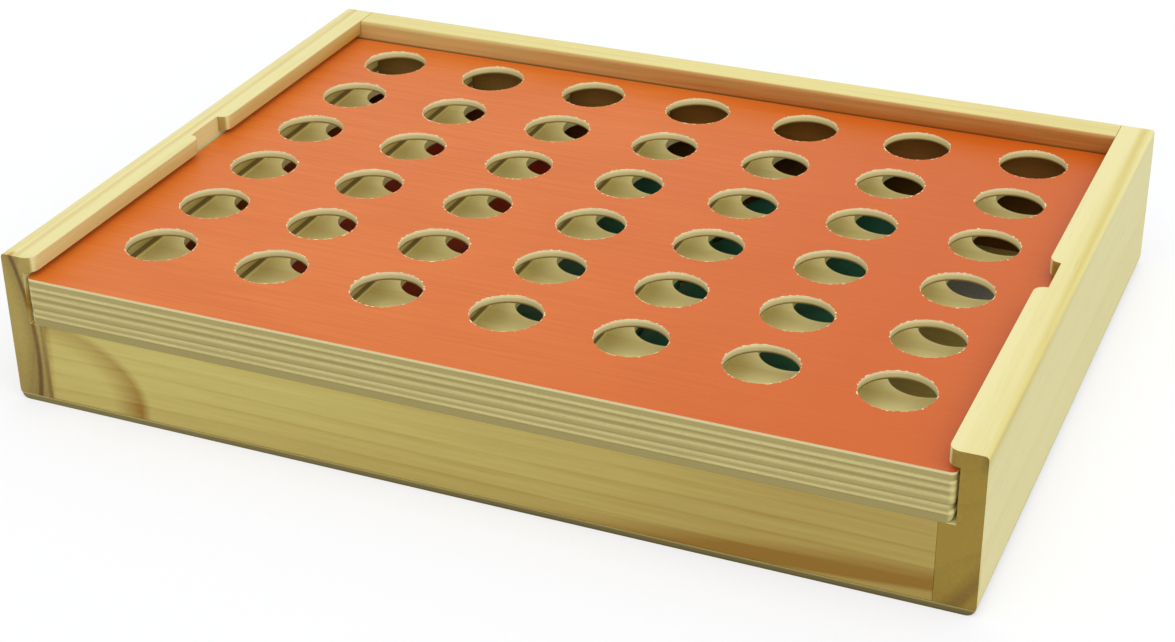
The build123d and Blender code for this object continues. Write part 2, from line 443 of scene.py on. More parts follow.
def rounded_outline(low, high, radius, steps=6):
    """Points round a rectangle with rounded corners."""
    points = []
    for corner, (x, y) in enumerate(((high.x, high.y), (low.x, high.y), (low.x, low.y), (high.x, low.y))):
        middle_x = x - math.copysign(radius, x - (low.x + high.x) / 2)
        middle_y = y - math.copysign(radius, y - (low.y + high.y) / 2)
        for step in range(steps + 1):
            angle = math.radians(90) * (corner + step / steps)
            points.append((middle_x + radius * math.cos(angle), middle_y + radius * math.sin(angle)))
    return points


def upright(points, bottom, top):
    """A block that stands on an outline, from bottom to top."""
    shape = bmesh.new()
    below = [shape.verts.new((x, y, bottom)) for x, y in points]
    above = [shape.verts.new((x, y, top)) for x, y in points]
    shape.faces.new(reversed(below))
    shape.faces.new(above)
    for index in range(len(points)):
        after = (index + 1) % len(points)
        shape.faces.new((below[index], below[after], above[after], above[index]))
    return shape


def round_lower_sides(shape, half_width, bottom, radius, steps=6):
    """Rounds the lower edges of the two sides that face left and right."""
    for step in range(1, steps + 1):
        height = bottom + radius * (1 - math.cos(math.radians(90) * step / steps))
        bmesh.ops.bisect_plane(
            shape, geom=shape.verts[:] + shape.edges[:] + shape.faces[:],
            plane_co=(0, 0, height), plane_no=(0, 0, 1), dist=1e-7,
        )
    for vert in shape.verts:
        sunk = min(1, max(0, 1 - (vert.co.z - bottom) / radius))
        limit = half_width - radius * (1 - math.sqrt(1 - sunk * sunk))
        vert.co.x = max(-limit, min(limit, vert.co.x))


box_half_length = 0.145
box_foot_round = 0.003
bottom_corner_round = 0.0006
bottom_ease = 0.0001
low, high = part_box("bottom_panel")
bottom = upright(rounded_outline(low, high, bottom_corner_round), low.z, high.z)
round_lower_sides(bottom, box_half_length, low.z, box_foot_round)
ease(bottom, sharp_edges(bottom), bottom_ease, 2)
bottom_plywood = plywood(
    "bottom_plywood", low.z - 0.001, 0.015, to_linear(196, 174, 98), to_linear(168, 140, 66), painted_foot_shade,
)
finish("bottom_sheet", bottom, bottom_plywood, "box", "plywood", "bottom_panel")


# The two side rails are planed pine, each one length with a stepped section: a thick foot
# whose top carries the board, a thin web beside the groove, and a lip over the board.
# The lips are cut through where the board stands in play. Left and right are a pair.
def pine(
    name, turn, shift, ring_width, ring_depth, early, late, end, along, seed=0.0, figure=None, painted_shade=None
):
    """Lacquered pine: turn and shift lay its grain along the piece and its pith beside it."""
    material, tree, shader = new_material(name, 0.5, 0.35)
    split = add(tree, "SeparateXYZ")
    tree.links.new(place_of(tree), split.inputs[0])
    wood = use(
        tree, grain, Place=place_of(tree, shift, turn), Ring_Width=ring_width, Wander=0.004,
        Figure=figure(tree, split.outputs) if figure else 0.0, Ring_Depth=ring_depth,
        Fibre_Depth=0.36, End_Grain=stretch(tree, facing(tree, along), 0.6, 0.8), Seed=seed,
        Early_Wood=early, Late_Wood=late, End_Wood=end,
    )
    colour = wood["Color"]
    # With a shade mask, painted shade darkens the colour towards dark brown.
    if painted_shade:
        colour = blend(tree, painted_shade(tree, split.outputs), colour, to_linear(92, 58, 12))
    tree.links.new(colour, shader.inputs["Base Color"])
    relief(tree, shader, wood["Height"], 0.00006)
    return material


def slanting_band(tree, place):
    """A soft yellow band that slants along the right rail's top, a brown lower corner, and painted shade low
    on the front end.
    """
    apart = calc(tree, "ADD", place["X"], calc(tree, "MULTIPLY", place["Y"], 0.0167))
    apart = calc(tree, "SUBTRACT", apart, calc(tree, "MULTIPLY", place["Z"], 0.25))
    band_line = 0.1318
    band = stretch(tree, off_line(tree, apart, band_line), 0.0004, 0.0022, 0.5, 0)
    band = calc(tree, "MULTIPLY", band, stretch(tree, place["Z"], 0.042, 0.046))
    outer = calc(tree, "SUBTRACT", place["X"], calc(tree, "MULTIPLY", place["Z"], 0.7))
    end_skin = (-0.1035, -0.1020)
    stain = stretch(tree, outer, 0.1325, 0.1365)
    stain = calc(tree, "MULTIPLY", stain, stretch(tree, outer, 0.1385, 0.1405, 1, 0))
    stain = calc(tree, "MULTIPLY", stain, stretch(tree, place["Y"], *end_skin, 0.45, 0))
    # Painted shade: the front end darkens towards the floor.
    low = stretch(tree, place["Z"], 0.002, 0.014, 0.22, 0)
    low = calc(tree, "MULTIPLY", low, stretch(tree, place["Y"], *end_skin, 1, 0))
    return calc(tree, "ADD", calc(tree, "ADD", band, stain), low)


def dark_heart(tree, place):
    """The left rail: a dark ring bends down its front end, a fainter one runs along its top,
    and its inner face is painted golden, more so lower down and further back, as painted reflection of the
    orange board."""
    ring_middle, ring_bend, top_ring = 0.017, 5.4, 0.1405
    height = calc(tree, "SUBTRACT", place["Z"], ring_middle)
    bend = calc(tree, "MULTIPLY", calc(tree, "MULTIPLY", height, height), ring_bend)
    line = calc(tree, "ADD", place["X"], bend)
    broad = stretch(tree, line, -0.1415, -0.1368, 0.0, 0.38)
    broad = calc(tree, "MULTIPLY", broad, stretch(tree, line, -0.1362, -0.1354, 1, 0.2))
    ring_edge = -0.1365
    sharp = stretch(tree, off_line(tree, line, ring_edge), 0.0003, 0.0012, 0.5, 0)
    # Painted shade: the front end darkens towards the floor.
    low = stretch(tree, place["Z"], 0.002, 0.022, 0.3, 0)
    dark = calc(tree, "ADD", calc(tree, "ADD", broad, sharp), low)
    at_end = calc(tree, "MULTIPLY", dark, stretch(tree, place["Y"], -0.1040, -0.1015, 1, 0))
    # Painted reflection: the inner face takes more golden late wood lower down and further back, standing in
    # for the orange board's light.
    inner = stretch(tree, place["X"], -0.1350, -0.1346)
    inner = calc(tree, "MULTIPLY", inner, stretch(tree, place["Y"], -0.10, 0.09, 0.35, 0.9))
    inner = calc(tree, "MULTIPLY", inner, stretch(tree, place["Z"], 0.0485, 0.0425, 0.3, 1))
    slant = calc(tree, "MULTIPLY", place["Y"], 0.006)
    ring = calc(tree, "ADD", calc(tree, "ADD", place["X"], top_ring), slant)
    ring = stretch(tree, calc(tree, "ABSOLUTE", ring), 0.0002, 0.0013, 0.3, 0)
    ring = calc(tree, "MULTIPLY", ring, stretch(tree, place["Z"], 0.0440, 0.0470))
    return calc(tree, "ADD", calc(tree, "ADD", at_end, inner), ring)


lip_edge, web_face, tray_side = 0.1345, 0.138, 0.1335
ledge_top, groove_top = 0.0264, 0.0432
notch_front, notch_back = -0.01305, 0.00265
lip_end_round = 0.0032
rail_outer_round, rail_back_round = 0.0012, 0.0015
rail_ease = 0.0004
quarter_turn = (0, 0, math.radians(90))
pale_pine, dark_pine = to_linear(229, 221, 161), to_linear(205, 186, 92)
golden_pine = to_linear(184, 134, 20)
rail_woods = {
    "left": pine(
        "left_rail_pine", quarter_turn, (0, 0.197, -0.026), 0.0075, 0.14,
        to_linear(226, 217, 154), golden_pine, to_linear(170, 149, 77), "Y", 3.0, dark_heart,
    ),
    "right": pine(
        "right_rail_pine", quarter_turn, (0, -0.170, 0.030), 0.014, 0.22,
        pale_pine, dark_pine, to_linear(156, 130, 47), "Y", 8.0, slanting_band,
    ),
}

for side, sign in (("left", -1), ("right", 1)):
    low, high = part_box(f"{side}_rail")
    section = [
        (box_half_length, low.z), (box_half_length, high.z), (web_face, high.z), (lip_edge, high.z),
        (lip_edge, groove_top), (web_face, groove_top), (web_face, ledge_top),
        (tray_side, ledge_top), (tray_side, low.z),
    ]
    shape = bmesh.new()
    stations = (low.y, notch_front, notch_back, high.y)
    rings = [[shape.verts.new((sign * x, y, z)) for x, z in section] for y in stations]
    for span in range(3):
        front, back = rings[span], rings[span + 1]
        runs = [(i, (i + 1) % len(section)) for i in range(len(section))]
        if span == 1:
            runs = [run for run in runs if run not in ((2, 3), (3, 4), (4, 5))] + [(2, 5)]
        for i, j in runs:
            shape.faces.new((front[i], front[j], back[j], back[i]))
    shape.faces.new(rings[0])
    shape.faces.new(rings[-1])
    for ring in rings[1:3]:
        shape.faces.new((ring[2], ring[3], ring[4], ring[5]))
    bmesh.ops.recalc_face_normals(shape, faces=shape.faces)
    bmesh.ops.dissolve_limit(
        shape, angle_limit=math.radians(1), verts=shape.verts, edges=shape.edges
    )

    def standing(x, y, spread=1e-5):
        """The upright edges at this distance from the middle and this place along the rail."""
        return [
            e for e in shape.edges
            if all(abs(abs(v.co.x) - x) < spread and abs(v.co.y - y) < spread for v in e.verts)
        ]

    lip_corners = [e for y in (low.y, notch_front, notch_back) for e in standing(lip_edge, y)]
    ease(shape, lip_corners, lip_end_round, 8)
    back_top = [
        e for e in shape.edges
        if all(v.co.y > high.y - 1e-5 and v.co.z > high.z - 1e-5 for v in e.verts)
    ]
    ease(shape, back_top, rail_back_round, 6)
    rounded_from = high.z - rail_back_round - 1e-5
    outer_top = [
        e for e in sharp_edges(shape)
        if all(abs(v.co.x) > box_half_length - 1e-5 and v.co.z > rounded_from for v in e.verts)
    ]
    ease(shape, outer_top, rail_outer_round, 5)
    round_lower_sides(shape, box_half_length, 0.0, box_foot_round)
    ease(shape, sharp_edges(shape), rail_ease, 3)
    finish(f"{side}_side_rail", shape, rail_woods[side], "box", "pine", f"{side}_rail")


# The front wall is a pine board glued between the rails, only as high as their feet, so
# that the board slides out over it. A brown arc dives through its left end, by a knot.
def eased_board(node, radius, steps):
    """A plain board as large as a CAD node, with its edges eased."""
    low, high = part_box(node)
    shape = upright([(low.x, low.y), (high.x, low.y), (high.x, high.y), (low.x, high.y)], low.z, high.z)
    ease(shape, shape.edges[:], radius, steps)
    return shape


def arc_and_band(tree, place):
    """The arc of late wood at the left, a low dark band at the right, a browner right end, and painted shade
    towards the floor.
    """
    wobble = calc(tree, "SUBTRACT", speckle(tree, place_of(tree), (14, 30, 70), 2.0), 0.5)
    arc_left, arc_foot, arc_width, arc_height = 0.1365, 0.004, 0.0353, 0.024
    beside = calc(tree, "DIVIDE", calc(tree, "ADD", place["X"], arc_left), arc_width)
    above = calc(tree, "DIVIDE", calc(tree, "SUBTRACT", place["Z"], arc_foot), arc_height)
    squares = calc(tree, "ADD", calc(tree, "POWER", beside, 2.0), calc(tree, "POWER", above, 2.0))
    apart = calc(tree, "SQRT", squares)
    apart = calc(tree, "ADD", apart, calc(tree, "MULTIPLY", wobble, 0.06))
    arc = calc(tree, "MULTIPLY", stretch(tree, apart, 0.70, 0.96), stretch(tree, apart, 0.97, 1.06, 1, 0))
    arc = calc(tree, "MULTIPLY", arc, stretch(tree, place["Z"], 0.006, 0.026, 0.75, 0.4))
    rise = calc(tree, "MULTIPLY", calc(tree, "SUBTRACT", place["X"], 0.010), 0.06)
    over = calc(tree, "SUBTRACT", calc(tree, "ADD", place["Z"], calc(tree, "MULTIPLY", wobble, 0.004)), rise)
    band = stretch(tree, over, -0.0030, -0.0015)
    band = calc(tree, "MULTIPLY", band, stretch(tree, over, 0.0002, 0.0046, 1, 0))
    band = calc(tree, "MULTIPLY", band, stretch(tree, place["X"], 0.015, 0.08, 0, 0.55))
    browner = stretch(tree, place["X"], -0.09, 0.10, 0.0, 0.46)
    # Painted shade: the face darkens towards the floor. Its left end, by the rail, is darker too.
    low = stretch(tree, place["Z"], 0.003, 0.016, 0.2, 0)
    low = calc(tree, "MAXIMUM", low, stretch(tree, place["X"], -0.1333, -0.1310, 0.45, 0))
    figure = calc(tree, "ADD", calc(tree, "ADD", arc, band), low)
    return calc(tree, "ADD", figure, browner)


front_ease = 0.0004
front_wood = pine(
    "front_wall_pine", (0, 0, 0), (0, 0.03, 0.09), 0.0042, 0.22,
    to_linear(200, 186, 106), to_linear(146, 107, 30), to_linear(168, 138, 54), "X", 2.0, arc_and_band,
)
finish("front_board", eased_board("front_wall", front_ease, 3), front_wood, "box", "pine", "front_wall")


# The back wall is a pine board as high as the rails, and it stops the board. Short tenons
# at its ends fill the grooves. Above them it is cut a hair short of the lips.
back_end_gap = 0.0001
back_inner_round = 0.0014
back_ease = 0.0002
low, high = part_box("back_wall")
lip_side = lip_edge - back_end_gap
half = [
    (tray_side, low.z), (tray_side, ledge_top), (web_face, ledge_top),
    (web_face, groove_top), (lip_side, groove_top), (lip_side, high.z),
]
outline = half + [(-x, z) for x, z in reversed(half)]
shape = bmesh.new()
front, back = ([shape.verts.new((x, y, z)) for x, z in outline] for y in (low.y, high.y))
shape.faces.new(front)
shape.faces.new(reversed(back))
for index in range(len(outline)):
    after = (index + 1) % len(outline)
    shape.faces.new((front[after], front[index], back[index], back[after]))
bmesh.ops.recalc_face_normals(shape, faces=shape.faces)
for place, radius in ((high.y, rail_back_round), (low.y, back_inner_round)):
    top_edge = [
        e for e in shape.edges
        if all(v.co.z > high.z - 1e-5 and abs(v.co.y - place) < 1e-5 for v in e.verts)
    ]
    ease(shape, top_edge, radius, 8)
ease(shape, sharp_edges(shape), back_ease, 3)


inner_skin = (low.y + 0.0004, low.y + 0.0010)


def painted_reflection_inside(tree, place):
    """Painted reflection and shade: the back wall's inner face is made browner and redder, more to the right
    and a little more lower down, standing in for the orange board's reflected light and for shade.
    """
    inner = stretch(tree, place["Y"], *inner_skin, 1, 0)
    share = stretch(tree, place["X"], -0.10, 0.0, 0.47, 0.82)
    share = calc(tree, "ADD", share, stretch(tree, place["Z"], 0.0460, 0.0425, 0, 0.1))
    return calc(tree, "MULTIPLY", inner, share)


def shade_behind_board(tree, place):
    """Painted shade: the back wall's inner face is darker where the board and the tray hide it."""
    inner = stretch(tree, place["Y"], *inner_skin, 0.72, 0)
    return calc(tree, "MULTIPLY", inner, stretch(tree, place["Z"], 0.0416, 0.0422, 1, 0))


back_wood = pine(
    "back_wall_pine", (0, 0, 0), (0, -0.02, 0.055), 0.0065, 0.1,
    to_linear(223, 212, 140), to_linear(172, 102, 34), to_linear(178, 150, 70), "X", 5.0,
    painted_reflection_inside, shade_behind_board,
)
finish("back_board", shape, back_wood, "box", "pine", "back_wall")


# The board's back panel is thin bare plywood with one sight hole behind each disc's place.
# The holes are drilled, so their rims are crisp. Its outer lower edges are rounded to slide.
def perforated_panel():
    """A node tree for a thin panel with rounded corners and a grid of round holes."""
    tree = bpy.data.node_groups.new("perforated_panel", "GeometryNodeTree")
    tree.interface.new_socket("Geometry", in_out="OUTPUT", socket_type="NodeSocketGeometry")
    sockets = (
        ("Width", "NodeSocketFloat"), ("Length", "NodeSocketFloat"), ("Thickness", "NodeSocketFloat"),
        ("Corner Round", "NodeSocketFloat"), ("Middle", "NodeSocketVector"), ("Foot", "NodeSocketVector"),
        ("Columns", "NodeSocketInt"), ("Rows", "NodeSocketInt"),
        ("Column Pitch", "NodeSocketFloat"), ("Row Pitch", "NodeSocketFloat"),
        ("Hole Radius", "NodeSocketFloat"), ("Hole Middle", "NodeSocketVector"),
        ("Hole Sides", "NodeSocketInt"), ("Wood", "NodeSocketMaterial"),
    )
    for name, kind in sockets:
        tree.interface.new_socket(name, in_out="INPUT", socket_type=kind)
    given = tree.nodes.new("NodeGroupInput").outputs

    def step(kind, links=(), **settings):
        made = tree.nodes.new(kind)
        for name, value in settings.items():
            setattr(made, name, value)
        for socket, source in links:
            tree.links.new(source, made.inputs[socket])
        return made

    outline = step("GeometryNodeCurvePrimitiveQuadrilateral", (
        ("Width", given["Width"]), ("Height", given["Length"]),
    ))
    corners = step("GeometryNodeFilletCurve", (
        ("Curve", outline.outputs[0]), ("Radius", given["Corner Round"]),
    ), mode="POLY")
    corners.inputs["Count"].default_value = 6
    edge = step("GeometryNodeTransform", (("Geometry", corners.outputs[0]), ("Translation", given["Middle"])))

    def run(count, pitch):
        less = step("ShaderNodeMath", ((0, given[count]),), operation="SUBTRACT")
        less.inputs[1].default_value = 1
        whole = step("ShaderNodeMath", ((0, less.outputs[0]), (1, given[pitch])), operation="MULTIPLY")
        return whole.outputs[0]

    places = step("GeometryNodeMeshGrid", (
        ("Size X", run("Columns", "Column Pitch")), ("Size Y", run("Rows", "Row Pitch")),
        ("Vertices X", given["Columns"]), ("Vertices Y", given["Rows"]),
    ))
    moved = step("GeometryNodeTransform", (
        ("Geometry", places.outputs["Mesh"]), ("Translation", given["Hole Middle"]),
    ))
    circle = step("GeometryNodeCurvePrimitiveCircle", (
        ("Resolution", given["Hole Sides"]), ("Radius", given["Hole Radius"]),
    ))
    holes = step("GeometryNodeInstanceOnPoints", (
        ("Points", moved.outputs[0]), ("Instance", circle.outputs[0]),
    ))
    flat_holes = step("GeometryNodeRealizeInstances", (("Geometry", holes.outputs[0]),))
    lines = step("GeometryNodeJoinGeometry", (
        ("Geometry", flat_holes.outputs[0]), ("Geometry", edge.outputs[0]),
    ))
    sheet = step("GeometryNodeFillCurve", (("Curve", lines.outputs[0]),), mode="NGONS")
    raised = step("GeometryNodeExtrudeMesh", (
        ("Mesh", sheet.outputs[0]), ("Offset Scale", given["Thickness"]),
    ), mode="FACES")
    raised.inputs["Individual"].default_value = False
    upwards = tree.nodes.new("ShaderNodeCombineXYZ")
    upwards.inputs["Z"].default_value = 1
    tree.links.new(upwards.outputs[0], raised.inputs["Offset"])
    under = step("GeometryNodeFlipFaces", (("Mesh", sheet.outputs[0]),))
    both = step("GeometryNodeJoinGeometry", (("Geometry", raised.outputs[0]), ("Geometry", under.outputs[0])))
    closed = step("GeometryNodeMergeByDistance", (("Geometry", both.outputs[0]),))
    closed.inputs["Distance"].default_value = 1e-6
    lifted = step("GeometryNodeTransform", (("Geometry", closed.outputs[0]), ("Translation", given["Foot"])))
    real = step("GeometryNodeRealizeInstances", (("Geometry", lifted.outputs[0]),))
    dressed = step("GeometryNodeSetMaterial", (("Geometry", real.outputs[0]), ("Material", given["Wood"])))
    tree.links.new(dressed.outputs[0], tree.nodes.new("NodeGroupOutput").inputs[0])
    return tree


def made_by(tree, **inputs):
    """The plain mesh that a node tree makes with these inputs, as a shape to work on."""
    carrier = bpy.data.objects.new("carrier", bpy.data.meshes.new("carrier"))
    scene.collection.objects.link(carrier)
    modifier = carrier.modifiers.new("made", "NODES")
    modifier.node_group = tree
    sockets = {s.name: s.identifier for s in tree.interface.items_tree if s.in_out == "INPUT"}
    for name, value in inputs.items():
        modifier[sockets[name.replace("_", " ")]] = value
    evaluated = carrier.evaluated_get(bpy.context.evaluated_depsgraph_get())
    mesh = bpy.data.meshes.new_from_object(evaluated)
    shape = bmesh.new()
    shape.from_mesh(mesh)
    bpy.data.objects.remove(carrier)
    bpy.data.meshes.remove(mesh)
    return shape


panel_tree = perforated_panel()
columns, rows = 7, 6
column_pitch, row_pitch = 0.0375, 0.030
hole_radius = 0.0105
hole_sides = 96
first_row_edge = -0.0867
board_corner_round = 0.0015
board_lower_round = 0.0022
rim_ease = 0.0002


def board_panel(node, material):
    """One of the board's two panels, in the place of its CAD node."""
    low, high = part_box(node)
    shape = made_by(
        panel_tree, Width=high.x - low.x, Length=high.y - low.y, Thickness=high.z - low.z,
        Corner_Round=board_corner_round, Middle=((low.x + high.x) / 2, (low.y + high.y) / 2, 0),
        Foot=(0, 0, low.z),
        Columns=columns, Rows=rows, Column_Pitch=column_pitch, Row_Pitch=row_pitch,
        Hole_Radius=hole_radius, Hole_Middle=(0, first_row_edge + rows * row_pitch / 2, 0),
        Hole_Sides=hole_sides, Wood=material,
    )
    bmesh.ops.recalc_face_normals(shape, faces=shape.faces)
    return shape


board_foot = 0.0264
board_thickness = 0.015
# Painted light: the board's inner plywood faces are made very pale, standing in for the light that reaches the
# channel floors through the holes.
board_plywood = plywood(
    "board_plywood", board_foot, board_thickness, to_linear(255, 244, 176), to_linear(250, 222, 124)
)
shape = board_panel("board_back_panel", board_plywood)
low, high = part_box("board_back_panel")
round_lower_sides(shape, high.x, low.z, board_lower_round)
ease(shape, sharp_edges(shape), rim_ease, 2)
finish("rear_panel", shape, board_plywood, "board", "plywood", "board_back_panel")


# Between the panels lies a comb of plywood strips that makes the seven columns: a foot
# strip on which the lowest discs rest, a strip down each side, and six dividers. All glued.
strip_ease = 0.00012
low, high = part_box("board_back_panel")
outline = rounded_outline(low, high, board_corner_round)


def strip(node):
    """A strip of the core, cut out of the board's rounded outline."""
    low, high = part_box(node)
    shape = upright(outline, low.z, high.z)
    cuts = (
        ((low.x, 0, 0), (-1, 0, 0)), ((high.x, 0, 0), (1, 0, 0)),
        ((0, low.y, 0), (0, -1, 0)), ((0, high.y, 0), (0, 1, 0)),
    )
    for point, away in cuts:
        everything = shape.verts[:] + shape.edges[:] + shape.faces[:]
        cut = bmesh.ops.bisect_plane(
            shape, geom=everything, plane_co=point, plane_no=away, dist=1e-7, clear_outer=True
        )
        rim = [e for e in cut["geom_cut"] if isinstance(e, bmesh.types.BMEdge)]
        bmesh.ops.holes_fill(shape, edges=[e for e in rim if len(e.link_faces) < 2], sides=0)
    bmesh.ops.recalc_face_normals(shape, faces=shape.faces)
    ease(shape, sharp_edges(shape), strip_ease, 2)
    return shape


for name in ("foot_strip", "right_strip", "left_strip"):
    finish(name, strip(f"board_{name}"), board_plywood, "board", "plywood", f"board_{name}")


def divider_comb():
    """A node tree for strips that stand side by side at an even pitch, with eased ends."""
    tree = bpy.data.node_groups.new("divider_comb", "GeometryNodeTree")
    tree.interface.new_socket("Geometry", in_out="OUTPUT", socket_type="NodeSocketGeometry")
    sockets = (
        ("Count", "NodeSocketInt"), ("Pitch", "NodeSocketVector"), ("First", "NodeSocketVector"),
        ("Size", "NodeSocketVector"), ("Wood", "NodeSocketMaterial"),
    )
    for name, kind in sockets:
        tree.interface.new_socket(name, in_out="INPUT", socket_type=kind)
    given = tree.nodes.new("NodeGroupInput").outputs
    line = tree.nodes.new("GeometryNodeMeshLine")
    block = tree.nodes.new("GeometryNodeMeshCube")
    stand = tree.nodes.new("GeometryNodeInstanceOnPoints")
    real = tree.nodes.new("GeometryNodeRealizeInstances")
    dressed = tree.nodes.new("GeometryNodeSetMaterial")
    for source, target in (
        (given["Count"], line.inputs["Count"]), (given["First"], line.inputs["Start Location"]),
        (given["Pitch"], line.inputs["Offset"]), (given["Size"], block.inputs["Size"]),
        (line.outputs[0], stand.inputs["Points"]), (block.outputs[0], stand.inputs["Instance"]),
        (stand.outputs[0], real.inputs[0]), (real.outputs[0], dressed.inputs["Geometry"]),
        (given["Wood"], dressed.inputs["Material"]),
        (dressed.outputs[0], tree.nodes.new("NodeGroupOutput").inputs[0]),
    ):
        tree.links.new(source, target)
    return tree


dividers = [f"board_divider_{number}" for number in range(1, columns)]
low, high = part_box(dividers[0])
shape = made_by(
    divider_comb(), Count=len(dividers), Pitch=(column_pitch, 0, 0), First=(low + high) / 2,
    Size=high - low, Wood=board_plywood,
)
bmesh.ops.remove_doubles(shape, verts=shape.verts, dist=1e-6)
ease(shape, shape.edges[:], strip_ease, 2)
finish("dividers", shape, board_plywood, "board", "plywood", *dividers)


# The board's front panel is the same plywood, rolled with orange paint on its outer face.
# The holes were drilled after painting, so their walls are bare and their rims are chipped.
def orange_paint():
    """Thin satin paint over a fine straight grain, with bare wood at the rims and edges."""
    material, tree, shader = new_material("orange_plywood", 0.42, 0.3)
    place = place_of(tree)
    streaks = speckle(tree, place, (35, 900, 900), 3.0)
    clouds = speckle(tree, place, (22, 30, 30), 2.0)
    light_share = calc(tree, "MULTIPLY", streaks, 0.6)
    light_share = calc(tree, "ADD", light_share, calc(tree, "MULTIPLY", clouds, 0.4))
    light_share = stretch(tree, light_share, 0.35, 0.65)
    paint = blend(tree, light_share, to_linear(205, 101, 26), to_linear(215, 113, 39))

    # Painted shade: the paint is made a little deeper and darker to the right, standing in for the sheen that
    # lightens the left part
    split = add(tree, "SeparateXYZ")
    tree.links.new(place, split.inputs[0])
    paint = blend(tree, stretch(tree, split.outputs["X"], -0.02, 0.10, 0, 0.7), paint, to_linear(199, 86, 4))

    # How far a point is outside the nearest hole's rim
    half_column, half_row = column_pitch / 2, row_pitch / 2
    beside = calc(tree, "FLOORED_MODULO", calc(tree, "ADD", split.outputs["X"], half_column), column_pitch)
    beside = calc(tree, "SUBTRACT", beside, half_column)
    above = calc(tree, "FLOORED_MODULO", calc(tree, "SUBTRACT", split.outputs["Y"], first_row_edge), row_pitch)
    above = calc(tree, "SUBTRACT", above, half_row)
    apart = calc(tree, "ADD", calc(tree, "MULTIPLY", beside, beside), calc(tree, "MULTIPLY", above, above))
    outside_rim = calc(tree, "SUBTRACT", calc(tree, "SQRT", apart), hole_radius)
    chips = stretch(tree, speckle(tree, place, (900, 900, 900), 2.0), 0.5, 0.75, 0.0, 0.0006)
    chipped = calc(tree, "LESS_THAN", outside_rim, chips)
    among_holes = calc(tree, "GREATER_THAN", split.outputs["Y"], first_row_edge)
    chipped = calc(tree, "MULTIPLY", chipped, among_holes)
    painted = stretch(tree, facing(tree, "Z"), 0.3, 0.6)
    paint_skin, painted_end = 0.0008, 0.0933
    top = calc(tree, "GREATER_THAN", split.outputs["Z"], board_foot + board_thickness - paint_skin)
    painted = calc(tree, "MAXIMUM", painted, calc(tree, "GREATER_THAN", split.outputs["Y"], painted_end))
    whole = calc(tree, "SUBTRACT", 1.0, chipped)
    painted = calc(tree, "MULTIPLY", calc(tree, "MULTIPLY", painted, top), whole)

    cut = use(tree, layers, Place=place, Foot=board_foot, Thickness=board_thickness)
    # Painted light: the bare hole walls are made paler than the plywood's cut layers, save for a darker foot,
    # and the bare flat faces under the paint, such as the underside, are made near white to throw more light
    # into the channels.
    in_hole = calc(tree, "MULTIPLY", calc(tree, "LESS_THAN", outside_rim, 0.0004), among_holes)
    up_the_wall = stretch(tree, split.outputs["Z"], 0.0391, 0.0396)
    wall = blend(tree, up_the_wall, to_linear(140, 112, 56), to_linear(226, 211, 150))
    pale_wood = blend(tree, in_hole, cut["Color"], wall)
    flat = stretch(tree, facing(tree, "Z"), 0.8, 0.95)
    pale_wood = blend(tree, flat, pale_wood, to_linear(252, 238, 172))
    rim = blend(tree, in_hole, to_linear(222, 208, 158), to_linear(240, 226, 180))
    pale_wood = blend(tree, top, pale_wood, rim)
    tree.links.new(blend(tree, painted, pale_wood, paint), shader.inputs["Base Color"])
    tree.links.new(stretch(tree, painted, 0, 1, 0.65, 0.42), shader.inputs["Roughness"])
    relief(tree, shader, calc(tree, "ADD", streaks, calc(tree, "MULTIPLY", cut["Height"], 0.3)), 0.00006)
    return material


orange = orange_paint()
shape = board_panel("board_front_panel", orange)
ease(shape, sharp_edges(shape), rim_ease, 2)
finish("orange_panel", shape, orange, "board", "orange_plywood", "board_front_panel")


